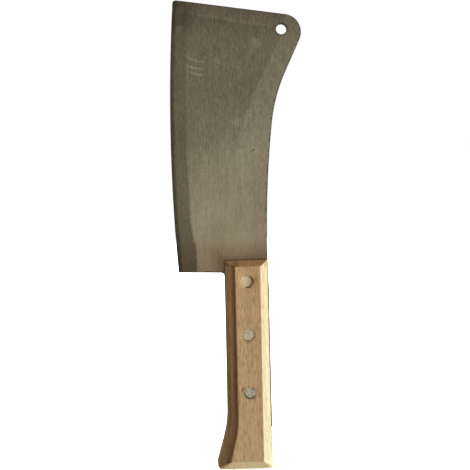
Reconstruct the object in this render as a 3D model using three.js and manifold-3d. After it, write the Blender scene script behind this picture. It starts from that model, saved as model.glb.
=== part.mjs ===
// A butcher's meat cleaver with a 230 mm blade, standing on its butt with the blade up.
// Millimetres. +Z runs from the butt of the handle to the top of the blade, +X points from the
// cutting edge to the spine, and Y is across the thickness. The origin is the middle of the butt.
//
// The blade and its three-quarter tang are one forging. The tang sits in a saw kerf in a one-piece
// beech handle, and three two-part rivets pin the two together.

import * as THREE from "three";
import { mergeVertices } from "three/addons/utils/BufferGeometryUtils.js";
import Module from "manifold-3d";

// Driving dimensions
const GAP = 0.3; // clearance between neighbouring pieces

const PLATE = 4; // thickness of the spine and the tang
const BLADE_REACH = 160; // farther from the cutting edge than any point of the blade
const BEVEL_THICKNESS = 2.5; // thickness of the blade where the edge bevel starts
const EDGE_THICKNESS = 0.6; // the blunt working edge
const EDGE_ARC = { x: 1500, z: 281, radius: 1561.5 }; // the cutting edge is one long shallow arc
const HEEL = { z: 166.1, drop: 1.1, corner: 0.8, fillet: 3 }; // square lower corner of the edge
const TIP = { x: -56.7, z: 397.1, corner: 2.6 };
const NOSE = { x: 36.1, z: 368.7, radius: 15.3 }; // rounded corner at the top of the spine
const HOLLOW = { x: 169.55, z: 273.2, radius: 146 }; // the spine sweeps in below the nose
const SPINE = { x: 920.3, z: 184, radius: 902 }; // and then runs almost straight to the tang
const HANGING_HOLE = { x: 34.6, z: 371.2, radius: 4.5 };

const HANDLE_LENGTH = 175.3;
const HANDLE_THICKNESS = 28;
const EDGE_SIDE = -18.1; // the handle's two long sides at the blade end
const SPINE_SIDE = 17.6;
const CHAMFER_DEPTH = 7.8; // how far every chamfer runs back from the flat face
const FRONT_CHAMFER = 5.1; // how far each one runs in from the outline
const BUTT_CHAMFER = 7.7;
const EDGE_CHAMFER = { front: 7.9, flare: 8.9, toe: 9.9 };
const SPINE_CHAMFER = { front: 6.5, butt: 8.2 };
const TOE = { x: -29.4, radius: 4.5 }; // the foot of the handle flares towards the edge side
const FLARE = { z: 37, drift: 0.7, radius: 85 };
const BUTT_STEP = { width: 1.1, length: 3 }; // the solid butt stands proud of the slotted part

const TANG = { left: -18.6, right: 19.15, end: 33, shoulder: 150 };

const RIVETS = [
  { name: "front", z: 157.5, sunk: 0.6 },
  { name: "middle", z: 113.3, sunk: 0.05 },
  { name: "rear", z: 64.7, sunk: 0.1 },
];
const HEAD = { radius: 4.9, thickness: 2.2, edge: 0.3 };
const BARREL = { radius: 3, bore: 2.05, wall: 3 };
const PIN_RADIUS = 1.75;

const wasm = await Module();
wasm.setup();

// A closed three.js geometry as a manifold-3d solid.
function solid(geometry) {
  const bare = geometry.clone();
  bare.deleteAttribute("normal");
  bare.deleteAttribute("uv");
  const merged = mergeVertices(bare, 1e-4);
  const corners = merged.index.array;
  const kept = [];
  for (let i = 0; i < corners.length; i += 3) {
    const [a, b, c] = corners.slice(i, i + 3);
    if (a !== b && b !== c && c !== a) kept.push(a, b, c);
  }
  const vertProperties = merged.attributes.position.array;
  return new wasm.Manifold(
    new wasm.Mesh({ numProp: 3, vertProperties, triVerts: new Uint32Array(kept) })
  );
}

// A manifold-3d solid as a three.js geometry.
function geometryOf(body) {
  const mesh = body.getMesh();
  const geometry = new THREE.BufferGeometry();
  geometry.setAttribute("position", new THREE.BufferAttribute(mesh.vertProperties, 3));
  geometry.setIndex(new THREE.BufferAttribute(mesh.triVerts, 1));
  const flat = geometry.toNonIndexed();
  flat.computeVertexNormals();
  return flat;
}

const steel = () =>
  new THREE.MeshStandardMaterial({ color: 0x7b7562, roughness: 0.45, metalness: 0.9 });
const beech = () =>
  new THREE.MeshStandardMaterial({ color: 0xb2946c, roughness: 0.65, metalness: 0 });
const rivetMetal = () =>
  new THREE.MeshStandardMaterial({ color: 0xa5a290, roughness: 0.4, metalness: 0.9 });

function named(name, geometry, material) {
  const mesh = new THREE.Mesh(geometry, material);
  mesh.name = name;
  return mesh;
}

// A plate in the XZ plane, centred on Y, from a closed outline of (x, z) points.
function plate(outline, thickness) {
  const shape = new THREE.Shape(outline);
  const geometry = new THREE.ExtrudeGeometry(shape, { depth: thickness, bevelEnabled: false });
  geometry.translate(0, 0, -thickness / 2);
  geometry.rotateX(Math.PI / 2);
  return geometry;
}

// A round bar along Y through (x, z), for drilling.
function bar(x, z, radius, from, to) {
  const geometry = new THREE.CylinderGeometry(radius, radius, to - from, 32);
  geometry.translate(x, (from + to) / 2, z);
  return solid(geometry);
}

function block(x0, x1, y0, y1, z0, z1) {
  const geometry = new THREE.BoxGeometry(x1 - x0, y1 - y0, z1 - z0);
  geometry.translate((x0 + x1) / 2, (y0 + y1) / 2, (z0 + z1) / 2);
  return solid(geometry);
}

// Points along an arc of a circle, both ends included.
function arc(circle, from, to, steps) {
  return Array.from({ length: steps + 1 }, (_, i) => {
    const angle = from + ((to - from) * i) / steps;
    return new THREE.Vector2(
      circle.x + circle.radius * Math.cos(angle),
      circle.z + circle.radius * Math.sin(angle)
    );
  });
}

// A polygon's corner rounded to a radius: the arc's points, from one side to the other.
function rounded(before, corner, after, radius, steps) {
  const a = new THREE.Vector2().subVectors(before, corner).normalize();
  const b = new THREE.Vector2().subVectors(after, corner).normalize();
  const half = Math.acos(a.dot(b)) / 2;
  const reach = radius / Math.tan(half);
  const centre = new THREE.Vector2().addVectors(a, b).normalize();
  centre.multiplyScalar(radius / Math.sin(half)).add(corner);
  const start = a.multiplyScalar(reach).add(corner).sub(centre);
  const end = b.multiplyScalar(reach).add(corner).sub(centre);
  const turn = Math.atan2(start.cross(end), start.dot(end));
  return Array.from({ length: steps + 1 }, (_, i) =>
    start.clone().rotateAround(new THREE.Vector2(), (turn * i) / steps).add(centre)
  );
}

// ---------------------------------------------------------------- blade

const edgeX = (z) =>
  EDGE_ARC.x - Math.sqrt(EDGE_ARC.radius ** 2 - (z - EDGE_ARC.z) ** 2);

// The blade and tang seen from the side, anticlockwise from the end of the tang.
function bladeOutline() {
  const point = (x, z) => new THREE.Vector2(x, z);

  // The lower spine and the hollow share a tangent where their centres line up.
  const joinAngle = Math.atan2(HOLLOW.z - SPINE.z, HOLLOW.x - SPINE.x);
  // A straight run crosses from the hollow to the nose, tangent to both circles.
  const away = Math.hypot(HOLLOW.x - NOSE.x, HOLLOW.z - NOSE.z);
  const towards = Math.atan2(NOSE.z - HOLLOW.z, NOSE.x - HOLLOW.x);
  const crossAngle = towards + Math.acos((HOLLOW.radius + NOSE.radius) / away);
  // The top edge leaves the nose on the tangent that reaches the tip.
  const tipAway = Math.hypot(TIP.x - NOSE.x, TIP.z - NOSE.z);
  const topAngle = Math.atan2(TIP.z - NOSE.z, TIP.x - NOSE.x) - Math.acos(NOSE.radius / tipAway);

  const lowerSpine = arc(SPINE, Math.PI, joinAngle, 8);
  const hollow = arc(HOLLOW, joinAngle, crossAngle, 12).slice(1);
  const nose = arc(NOSE, crossAngle - Math.PI, topAngle, 24);
  const tip = point(TIP.x, TIP.z);
  const edgeSteps = 24;
  const cornerRoom = 3; // the edge's points stop short of its rounded corners
  const edgeTop = TIP.z - cornerRoom;
  const edgeBottom = HEEL.z + cornerRoom;
  const edge = Array.from({ length: edgeSteps + 1 }, (_, i) => {
    const z = edgeTop + ((edgeBottom - edgeTop) * i) / edgeSteps;
    return point(edgeX(z), z);
  });
  const heelCorner = point(edgeX(HEEL.z), HEEL.z);
  const armpit = point(TANG.left, HEEL.z - HEEL.drop);
  return [
    point(TANG.left, TANG.end),
    point(TANG.right, TANG.end),
    point(TANG.right, TANG.shoulder),
    ...lowerSpine,
    ...hollow,
    ...nose,
    ...rounded(nose.at(-1), tip, edge[0], TIP.corner, 4),
    ...edge,
    ...rounded(edge.at(-1), heelCorner, armpit, HEEL.corner, 3),
    ...rounded(heelCorner, armpit, point(TANG.left, TANG.end), HEEL.fillet, 6),
  ];
}

// The width of the ground part of the blade, from the cutting edge to the line where the full
// plate starts. It is widest under the nose and narrows to nothing much at the heel.
const grindLine = new THREE.SplineCurve([
  new THREE.Vector2(30, 100),
  new THREE.Vector2(36, 170),
  new THREE.Vector2(50, 225),
  new THREE.Vector2(57, 273),
  new THREE.Vector2(69, 312),
  new THREE.Vector2(84, 345),
  new THREE.Vector2(95, 375),
  new THREE.Vector2(97, 430),
]);
const BEVEL = { heel: 15.6, tip: 12.6 };

// A body that follows the cutting edge and is as thick at each place as the ground blade may be.
function groundEnvelope() {
  const stations = 28;
  const rings = [];
  for (let i = 0; i <= stations; i++) {
    const grind = grindLine.getPoint(i / stations);
    const along = THREE.MathUtils.clamp((grind.y - HEEL.z) / (TIP.z - HEEL.z), 0, 1);
    const bevel = THREE.MathUtils.lerp(BEVEL.heel, BEVEL.tip, along);
    const profile = [
      [0, EDGE_THICKNESS / 2],
      [bevel, BEVEL_THICKNESS / 2],
      [grind.x, PLATE / 2],
      [BLADE_REACH, PLATE],
    ];
    const x = edgeX(grind.y);
    const front = profile.map(([u, h]) => [x + u, -h, grind.y]);
    const back = profile.map(([u, h]) => [x + u, h, grind.y]).reverse();
    rings.push([...front, ...back]);
  }
  return loft(rings);
}

// Rings of equal length joined side to side, with a fan at each end.
function loft(rings) {
  const count = rings[0].length;
  const positions = [];
  const triangle = (...points) => points.forEach((p) => positions.push(...p));
  for (let i = 0; i + 1 < rings.length; i++) {
    for (let j = 0; j < count; j++) {
      const k = (j + 1) % count;
      triangle(rings[i][j], rings[i][k], rings[i + 1][k]);
      triangle(rings[i][j], rings[i + 1][k], rings[i + 1][j]);
    }
  }
  const [first, last] = [rings[0], rings.at(-1)];
  for (let j = 1; j + 1 < count; j++) {
    triangle(first[0], first[j + 1], first[j]);
    triangle(last[0], last[j], last[j + 1]);
  }
  const geometry = new THREE.BufferGeometry();
  geometry.setAttribute("position", new THREE.Float32BufferAttribute(positions, 3));
  return geometry;
}

function blade() {
  const reach = PLATE;
  const full = solid(plate(bladeOutline(), PLATE));
  // The tang keeps the full plate thickness.
  const armpitZ = HEEL.z - HEEL.drop;
  const tang = full.intersect(block(-BLADE_REACH, BLADE_REACH, -reach, reach, 0, armpitZ));
  let body = full.intersect(solid(groundEnvelope())).add(tang);
  const hole = HANGING_HOLE;
  body = body.subtract(bar(hole.x, hole.z, hole.radius, -reach, reach));
  for (const rivet of RIVETS) {
    body = body.subtract(bar(0, rivet.z, BARREL.radius + GAP, -reach, reach));
  }
  return named("blade", geometryOf(body), steel());
}

// ---------------------------------------------------------------- handle

// The handle's outline and the outline of its flat face, point for point, so that the chamfers
// run straight between them. The toe's round end shrinks to one sharp corner on the flat face.
function handleOutlines() {
  const point = (x, z) => new THREE.Vector2(x, z);
  const toeSteps = 8;
  const flareSteps = 10;
  const buttSide = SPINE_SIDE + BUTT_STEP.width;
  const stepTop = TANG.end - GAP;
  const stepFoot = stepTop - BUTT_STEP.length;
  const frontLeft = point(EDGE_SIDE, HANDLE_LENGTH);
  const flare = point(EDGE_SIDE - FLARE.drift, FLARE.z);
  const toe = point(TOE.x, 0);
  const heel = point(buttSide, 0);
  const flareOuter = rounded(frontLeft, flare, toe, FLARE.radius, flareSteps);
  const toeOuter = rounded(flare, toe, heel, TOE.radius, toeSteps);
  const outer = [
    frontLeft,
    ...flareOuter,
    ...toeOuter,
    heel,
    point(buttSide, stepFoot),
    point(SPINE_SIDE, stepTop),
    point(SPINE_SIDE, HANDLE_LENGTH),
  ];

  // The same corners moved in by the chamfers.
  const slope = Math.atan2(flare.x - toe.x, flare.y - toe.y);
  const toeInset = point(
    toe.x + EDGE_CHAMFER.toe / Math.cos(slope) + BUTT_CHAMFER * Math.tan(slope),
    BUTT_CHAMFER
  );
  const flareInset = point(
    flare.x + EDGE_CHAMFER.flare,
    FLARE.z - EDGE_CHAMFER.flare * Math.tan(slope / 2)
  );
  const flareRadius = FLARE.radius - EDGE_CHAMFER.flare;
  const frontZ = HANDLE_LENGTH - FRONT_CHAMFER;
  const frontInset = point(EDGE_SIDE + EDGE_CHAMFER.front, frontZ);
  const heelInset = point(buttSide - SPINE_CHAMFER.butt, BUTT_CHAMFER);
  const frontRight = point(SPINE_SIDE - SPINE_CHAMFER.front, frontZ);
  const between = (z) =>
    heelInset.clone().lerp(frontRight, (z - heelInset.y) / (frontRight.y - heelInset.y));
  const inner = [
    frontInset,
    ...rounded(frontInset, flareInset, toeInset, flareRadius, flareSteps),
    ...Array.from({ length: toeSteps + 1 }, () => toeInset),
    heelInset,
    between(stepFoot),
    between(stepTop),
    frontRight,
  ];
  return { outer, inner };
}

// The chamfered bar: flat face, chamfers, sides, chamfers, flat face.
function handleBar() {
  const { outer, inner } = handleOutlines();
  const half = HANDLE_THICKNESS / 2;
  const rings = [
    inner.map((p) => [p.x, -half, p.y]),
    outer.map((p) => [p.x, -half + CHAMFER_DEPTH, p.y]),
    outer.map((p) => [p.x, half - CHAMFER_DEPTH, p.y]),
    inner.map((p) => [p.x, half, p.y]),
  ];
  const positions = [];
  const triangle = (...points) => points.forEach((p) => positions.push(...p));
  for (let i = 0; i + 1 < rings.length; i++) {
    for (let j = 0; j < inner.length; j++) {
      const k = (j + 1) % inner.length;
      triangle(rings[i][j], rings[i + 1][k], rings[i][k]);
      triangle(rings[i][j], rings[i + 1][j], rings[i + 1][k]);
    }
  }
  for (const [a, b, c] of THREE.ShapeUtils.triangulateShape(inner, [])) {
    triangle(rings[0][a], rings[0][b], rings[0][c]);
    triangle(rings[3][a], rings[3][c], rings[3][b]);
  }
  const geometry = new THREE.BufferGeometry();
  geometry.setAttribute("position", new THREE.Float32BufferAttribute(positions, 3));
  return geometry;
}

function handle() {
  const half = HANDLE_THICKNESS / 2;
  const outside = half + 1;
  const kerf = PLATE / 2 + GAP;
  const width = HANDLE_LENGTH; // the saw cut runs right across
  let body = solid(handleBar());
  body = body.subtract(block(-width, width, -kerf, kerf, TANG.end - GAP, HANDLE_LENGTH + 1));
  for (const rivet of RIVETS) {
    const seat = half - rivet.sunk - HEAD.thickness - GAP;
    body = body.subtract(bar(0, rivet.z, BARREL.radius + GAP, -outside, outside));
    body = body.subtract(bar(0, rivet.z, HEAD.radius + GAP, -outside, -seat));
    body = body.subtract(bar(0, rivet.z, HEAD.radius + GAP, seat, outside));
  }
  return named("handle", geometryOf(body), beech());
}

// ---------------------------------------------------------------- rivets

// A turned piece on an axis along Y, from a profile of (radius, y) points.
function turned(profile) {
  return new THREE.LatheGeometry(
    profile.map(([r, y]) => new THREE.Vector2(r, y)),
    32
  );
}

// The front half: a head with a hollow barrel that passes through the handle and the tang.
function rivetTube(rivet) {
  const top = -HANDLE_THICKNESS / 2 + rivet.sunk;
  const under = top + HEAD.thickness;
  const end = -top - HEAD.thickness - BARREL.wall;
  const geometry = turned([
    [0, top],
    [HEAD.radius - HEAD.edge, top],
    [HEAD.radius, top + HEAD.edge],
    [HEAD.radius, under],
    [BARREL.radius, under],
    [BARREL.radius, end],
    [BARREL.bore, end],
    [BARREL.bore, under + BARREL.wall],
    [0, under + BARREL.wall],
  ]);
  geometry.translate(0, 0, rivet.z);
  return named(`${rivet.name}_rivet_tube`, geometry, rivetMetal());
}

// The back half: a head with a solid pin that is driven into the barrel.
function rivetPin(rivet) {
  const top = HANDLE_THICKNESS / 2 - rivet.sunk;
  const under = top - HEAD.thickness;
  const tip = -under + 2 * BARREL.wall;
  const geometry = turned([
    [0, tip],
    [PIN_RADIUS, tip],
    [PIN_RADIUS, under],
    [HEAD.radius, under],
    [HEAD.radius, top - HEAD.edge],
    [HEAD.radius - HEAD.edge, top],
    [0, top],
  ]);
  geometry.translate(0, 0, rivet.z);
  return named(`${rivet.name}_rivet_pin`, geometry, rivetMetal());
}

const cleaver = new THREE.Group();
cleaver.name = "cleaver";
cleaver.add(blade(), handle());
for (const rivet of RIVETS) cleaver.add(rivetTube(rivet), rivetPin(rivet));

export default cleaver;
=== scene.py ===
"""A butcher's cleaver: ground steel blade, chamfered beech handle, three two-part rivets.

Shapes are worked out in millimetres, in the CAD frame: +Z from the butt to the top of the blade,
+X from the cutting edge to the spine, Y through the thickness. Meshes are written in metres.
"""

import math

import bmesh
import bpy
from mathutils import Matrix, Vector, geometry, noise


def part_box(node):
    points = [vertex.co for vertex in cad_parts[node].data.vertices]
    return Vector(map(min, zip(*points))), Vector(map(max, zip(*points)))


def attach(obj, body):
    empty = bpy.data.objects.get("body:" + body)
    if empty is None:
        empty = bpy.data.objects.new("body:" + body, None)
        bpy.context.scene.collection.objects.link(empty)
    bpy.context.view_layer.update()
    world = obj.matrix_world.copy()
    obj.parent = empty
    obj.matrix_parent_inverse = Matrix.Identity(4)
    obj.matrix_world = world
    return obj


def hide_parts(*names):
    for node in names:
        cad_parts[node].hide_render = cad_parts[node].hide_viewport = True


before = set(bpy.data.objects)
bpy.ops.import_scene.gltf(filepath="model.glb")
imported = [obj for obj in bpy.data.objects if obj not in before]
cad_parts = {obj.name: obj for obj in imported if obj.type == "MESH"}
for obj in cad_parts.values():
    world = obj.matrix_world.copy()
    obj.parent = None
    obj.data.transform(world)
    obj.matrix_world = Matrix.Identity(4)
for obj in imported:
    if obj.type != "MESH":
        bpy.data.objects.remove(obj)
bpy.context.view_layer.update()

MM = 0.001


def box_mm(node):
    low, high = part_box(node)
    return low / MM, high / MM


# ------------------------------------------------------------------ sizes

BLADE_LOW, BLADE_HIGH = box_mm("blade")
HANDLE_HIGH = box_mm("handle")[1]
PLATE = BLADE_HIGH.y - BLADE_LOW.y
KERF = PLATE / 2 + 0.06  # half the saw cut, which the tang fills closely
HALF_DEPTH = HANDLE_HIGH.y
HANDLE_LENGTH = HANDLE_HIGH.z
TANG_LEFT, TANG_RIGHT, TANG_END = -18.6, 19.15, BLADE_LOW.z
TANG_CORNER, TANG_SHOULDER, SHOULDER_RADIUS = 1.3, 150.0, 60.0

EDGE_ARC = (1500.0, 281.0, 1561.5)
NOSE = (36.1, 368.7, 15.3)
HOLLOW = (169.55, 273.2, 146.0)
SPINE = (920.3, 184.0, 902.0)
TIP, TIP_CORNER = Vector((-56.7, 397.1)), 2.6
HEEL_Z, HEEL_DROP, HEEL_CORNER, HEEL_FILLET = 166.1, 1.1, 0.8, 3.0
CORNER_ROOM = 3.0  # how far the edge's points stop short of its two corners
PLATE_ROUNDING, PLATE_SPACING = 0.5, 1.6
HOLE = (34.6, 371.2, 4.5)

EDGE_SIDE, SPINE_SIDE = -18.1, 17.6
CHAMFER_DEPTH, FRONT_CHAMFER, BUTT_CHAMFER = 7.8, 5.1, 7.7
EDGE_CHAMFER_FRONT, EDGE_CHAMFER_FLARE, EDGE_CHAMFER_TOE = 7.9, 8.9, 9.9
SPINE_CHAMFER_FRONT, SPINE_CHAMFER_BUTT = 6.5, 8.2
FLARE_Z, FLARE_DRIFT, FLARE_RADIUS = 37.0, 0.7, 85.0
TOE_X, TOE_RADIUS = -29.4, 4.5
TOE_MITRE_SLOPE = 0.62
BUTT_SIDE, BUTT_CORNER = HANDLE_HIGH.x, 2.2
STEP_REACH, STEP_RADIUS = 2.4, 4.0  # the butt stands proud of the slotted part by a soft step
FRONT_CORNER, FACE_CORNER = 0.7, 0.6

RIVETS = {
    name: (box_mm(name + "_rivet_tube"), box_mm(name + "_rivet_pin"))
    for name in ("front", "middle", "rear")
}
HEAD_RADIUS, HEAD_THICKNESS, HEAD_EDGE, HEAD_STEPS = 4.9, 2.2, 0.35, 72
BARREL_RADIUS, BARREL_BORE, BARREL_WALL, PIN_RADIUS = 3.0, 2.05, 3.0, 1.75
CLEARANCE, BORE_STEPS, HOLE_STEPS = 0.3, 32, 64


# ------------------------------------------------------------------ plane curves


def arc(circle, start, end, spacing):
    x, z, radius = circle
    steps = max(2, math.ceil(abs(end - start) * radius / spacing))
    return [
        Vector((x + radius * math.cos(a), z + radius * math.sin(a)))
        for a in (start + (end - start) * i / steps for i in range(steps + 1))
    ]


def rounded(before, corner, after, radius, steps):
    """The corner's arc, from the side of the point before it to the side of the point after."""
    a, b = (before - corner).normalized(), (after - corner).normalized()
    half = a.angle(b) / 2
    centre = corner + (a + b).normalized() * (radius / math.sin(half))
    start = corner + a * (radius / math.tan(half)) - centre
    end = corner + b * (radius / math.tan(half)) - centre
    turn = math.atan2(start.x * end.y - start.y * end.x, start.dot(end))
    return [centre + Matrix.Rotation(turn * i / steps, 2) @ start for i in range(steps + 1)]


def spaced(points, spacing):
    """The closed outline with no side longer than spacing."""
    out = []
    for i, p in enumerate(points):
        q = points[(i + 1) % len(points)]
        steps = max(1, math.ceil((q - p).length / spacing))
        out += [p.lerp(q, k / steps) for k in range(steps)]
    return out


def inset(points, distances):
    """The anticlockwise outline moved inwards, by one distance for each point."""
    out = []
    for i, p in enumerate(points):
        along = (points[(i + 1) % len(points)] - points[i - 1]).normalized()
        out.append(p + Vector((-along.y, along.x)) * distances[i])
    return out


def smooth(low, high, value):
    t = min(1.0, max(0.0, (value - low) / (high - low)))
    return t * t * (3 - 2 * t)


# ------------------------------------------------------------------ blade


def edge_x(z):
    x, centre, radius = EDGE_ARC
    return x - math.sqrt(radius**2 - (z - centre) ** 2)


def blade_outline():
    """Anticlockwise from the end of the tang, edge side."""
    join = math.atan2(HOLLOW[1] - SPINE[1], HOLLOW[0] - SPINE[0])
    away = math.hypot(HOLLOW[0] - NOSE[0], HOLLOW[1] - NOSE[1])
    towards = math.atan2(NOSE[1] - HOLLOW[1], NOSE[0] - HOLLOW[0])
    cross = towards + math.acos((HOLLOW[2] + NOSE[2]) / away)
    to_tip = TIP - Vector(NOSE[:2])
    top = math.atan2(to_tip.y, to_tip.x) - math.acos(NOSE[2] / to_tip.length)

    nose = arc(NOSE, cross - math.pi, top, 0.8)
    high, low = TIP.y - CORNER_ROOM, HEEL_Z + CORNER_ROOM
    steps = math.ceil((high - low) / 1.5)
    edge = [high + (low - high) * i / steps for i in range(steps + 1)]
    edge = [Vector((edge_x(z), z)) for z in edge]
    heel = Vector((edge_x(HEEL_Z), HEEL_Z))
    armpit = Vector((TANG_LEFT, HEEL_Z - HEEL_DROP))
    tang_left = Vector((TANG_LEFT, TANG_END))
    tang_right = Vector((TANG_RIGHT, TANG_END))
    tang_top = Vector((TANG_RIGHT, TANG_SHOULDER))
    spine_foot = Vector((SPINE[0] - SPINE[2], SPINE[1]))
    return (
        rounded(armpit, tang_left, tang_right, TANG_CORNER, 4)
        + rounded(tang_left, tang_right, tang_top, TANG_CORNER, 4)
        + rounded(tang_right, tang_top, spine_foot, SHOULDER_RADIUS, 4)
        + arc(SPINE, math.pi, join, 1.5)
        + arc(HOLLOW, join, cross, 1.2)[1:]
        + nose
        + rounded(nose[-1], TIP, edge[0], TIP_CORNER, 10)
        + edge
        + rounded(edge[-1], heel, armpit, HEEL_CORNER, 5)
        + rounded(heel, armpit, tang_left, HEEL_FILLET, 10)
    )


# Where the ground face ends: height, and distance in from the cutting edge
GRIND_LINE = (
    (100, 30),
    (170, 37),
    (225, 50),
    (273, 57),
    (312, 69),
    (345, 84),
    (375, 96),
    (430, 98),
)


def grind_width(z):
    """How far the ground face reaches in from the edge, by a smooth curve through GRIND_LINE."""
    points = GRIND_LINE
    i = max(1, min(len(points) - 3, sum(1 for p in points if p[0] <= z) - 1))
    (z0, a), (z1, b), (z2, c), (z3, d) = points[i - 1 : i + 3]
    t = (z - z1) / (z2 - z1)
    slope_b = (c - a) / (z2 - z0) * (z2 - z1)
    slope_c = (d - b) / (z3 - z1) * (z2 - z1)
    return (
        (2 * t**3 - 3 * t**2 + 1) * b
        + (t**3 - 2 * t**2 + t) * slope_b
        + (3 * t**2 - 2 * t**3) * c
        + (t**3 - t**2) * slope_c
    )


BEVEL_WIDTH, BEVEL_TAPER, BEVEL_SWELL, BEVEL_RIPPLE = 14.3, 1.7, 2.1, 0.25


def bevel_width(z):
    """The bevel widens slowly towards the heel, and swells where it was honed most."""
    t = min(1.0, max(0.0, (z - HEEL_Z) / (TIP.y - HEEL_Z)))
    swell = BEVEL_SWELL * (1 - smooth(186, 212, z))
    return BEVEL_WIDTH - BEVEL_TAPER * t + swell + BEVEL_RIPPLE * math.sin(z / 9)


def from_edge(x, z):
    return EDGE_ARC[2] - math.hypot(x - EDGE_ARC[0], z - EDGE_ARC[1])


HONED_WIDTH = 3.0
HALF_AT_EDGE, HALF_AT_HONE, HALF_AT_BEVEL = 0.22, 0.6, 1.25


def half_thickness(x, z):
    """Half the thickness at a point: honed edge, bevel, ground face, then the full plate."""
    full = PLATE / 2
    if z < HEEL_Z - HEEL_DROP:
        return full
    u = from_edge(x, z)
    bevel, grind = bevel_width(z), grind_width(z)
    if u < HONED_WIDTH:
        return HALF_AT_EDGE + (HALF_AT_HONE - HALF_AT_EDGE) * max(0.0, u) / HONED_WIDTH
    if u < bevel:
        t = (u - HONED_WIDTH) / (bevel - HONED_WIDTH)
        return HALF_AT_HONE + (HALF_AT_BEVEL - HALF_AT_HONE) * t
    if u < grind:
        t = (u - bevel) / (grind - bevel)
        return HALF_AT_BEVEL + (full - HALF_AT_BEVEL) * t
    return full


def waviness(x, z):
    """The slight unevenness that hand grinding leaves in the ground faces."""
    broad = noise.noise(Vector((x * 0.035, z * 0.02, 3.1)))
    fine = noise.noise(Vector((x * 0.11, z * 0.05, 7.7)))
    return 0.035 * broad + 0.012 * fine


def closed_edges(start, count):
    return [(start + i, start + (i + 1) % count) for i in range(count)]


def circle(x, z, radius, steps):
    """Clockwise, so that inset() moves it away from the hole."""
    return [
        Vector((x + radius * math.cos(-a), z + radius * math.sin(-a)))
        for a in (2 * math.pi * i / steps for i in range(steps))
    ]


BEVEL_SOFTNESS = 0.8


def interior_points(spacing):
    """Rows across the blade, with columns that follow the cutting edge and the bevel line."""
    points = []
    rows = int((BLADE_HIGH.z - TANG_END) / spacing)
    for row in range(1, rows):
        z = TANG_END + row * spacing
        bevel = bevel_width(z)
        start = edge_x(z)
        columns = [HONED_WIDTH * k / 3 for k in (1, 2, 3)]
        columns += [HONED_WIDTH + (bevel - HONED_WIDTH) * k / 8 for k in range(1, 8)]
        columns += [bevel - BEVEL_SOFTNESS, bevel, bevel + BEVEL_SOFTNESS]
        columns += [bevel + spacing * k for k in range(1, 80)]
        for u in columns:
            points.append(Vector((start + u, z)))
    return points


def inside(point, outline):
    hit = False
    for i, a in enumerate(outline):
        b = outline[i - 1]
        if (a.y > point.y) != (b.y > point.y):
            if point.x < a.x + (b.x - a.x) * (point.y - a.y) / (b.y - a.y):
                hit = not hit
    return hit


def near(point, loop, distance):
    return any((p - point).length < distance for p in loop)


ROUNDING = (0, 22.5, 45, 67.5, 90)


def plate_mesh(name, outline, holes, half, edge_radius, spacing):
    """A plate with the given half thickness at each point, rounded along its outline and holes."""
    bm = bmesh.new()
    rim = bm.verts.layers.float.new("rim")
    loops, inner_loops = [outline] + holes, []
    for loop in loops:
        radii = [min(edge_radius, 0.8 * half(p.x, p.y)) for p in loop]
        rings = []
        for degrees in ROUNDING:
            a = math.radians(degrees)
            ring = inset(loop, [r * (1 - math.cos(a)) for r in radii])
            drops = [r * (1 - math.sin(a)) for r in radii]
            rings.append([(p, half(p.x, p.y) - drop) for p, drop in zip(ring, drops)])
        support = inset(loop, [r + 0.5 for r in radii])
        rings.append([(p, half(p.x, p.y)) for p in support])
        inner_loops.append([p for p, _ in rings[-1]])
        front = [[bm.verts.new((p.x, -h, p.y)) for p, h in ring] for ring in rings]
        back = [[bm.verts.new((p.x, h, p.y)) for p, h in ring] for ring in rings]
        for ring in front[1:-1] + back[1:-1]:
            for v in ring:
                v[rim] = 1.0
        for v in front[0] + back[0] + front[-1] + back[-1]:
            v[rim] = 0.5
        count = len(loop)
        for i in range(count):
            j = (i + 1) % count
            bm.faces.new((front[0][i], back[0][i], back[0][j], front[0][j]))
            for k in range(len(rings) - 1):
                f, g = front[k], front[k + 1]
                bm.faces.new((f[i], f[j], g[j], g[i]))
                f, g = back[k], back[k + 1]
                bm.faces.new((f[j], f[i], g[i], g[j]))

    points, edges = [], []
    for loop in inner_loops:
        edges += closed_edges(len(points), len(loop))
        points += loop
    border = list(points)
    rows = {}
    for p in border:
        rows.setdefault(int(p.y // 2), []).append(p)
    for p in interior_points(spacing):
        close = [q for k in (-1, 0, 1) for q in rows.get(int(p.y // 2) + k, ())]
        if near(p, close, 0.6 * spacing) or not inside(p, inner_loops[0]):
            continue
        if any(inside(p, hole) for hole in inner_loops[1:]):
            continue
        points.append(p)
    made = geometry.delaunay_2d_cdt(points, edges, [], 1, 1e-5)
    flat, faces = made[0], made[2]
    for side in (-1, 1):
        verts = [bm.verts.new((p.x, side * half(p.x, p.y), p.y)) for p in flat]
        for face in faces:
            middle = sum((flat[i] for i in face), Vector((0, 0))) / len(face)
            if any(inside(middle, hole) for hole in inner_loops[1:]):
                continue
            order = face if side < 0 else face[::-1]
            bm.faces.new([verts[i] for i in order])
    bmesh.ops.remove_doubles(bm, verts=bm.verts, dist=1e-4)
    bmesh.ops.recalc_face_normals(bm, faces=bm.faces)
    uv = bm.loops.layers.uv.new("side")
    for face in bm.faces:
        for corner in face.loops:
            corner[uv].uv = corner.vert.co.xz / BLADE_HIGH.z
    return finished(name, bm)


def finished(name, bm, sharp_degrees=None):
    """The bmesh, drawn in millimetres, as an object in metres."""
    bmesh.ops.scale(bm, vec=(MM, MM, MM), verts=bm.verts)
    mesh = bpy.data.meshes.new(name)
    bm.to_mesh(mesh)
    bm.free()
    mesh.shade_smooth()
    if sharp_degrees is not None:
        mesh.set_sharp_from_angle(angle=math.radians(sharp_degrees))
    obj = bpy.data.objects.new(name, mesh)
    bpy.context.scene.collection.objects.link(obj)
    return obj


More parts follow.
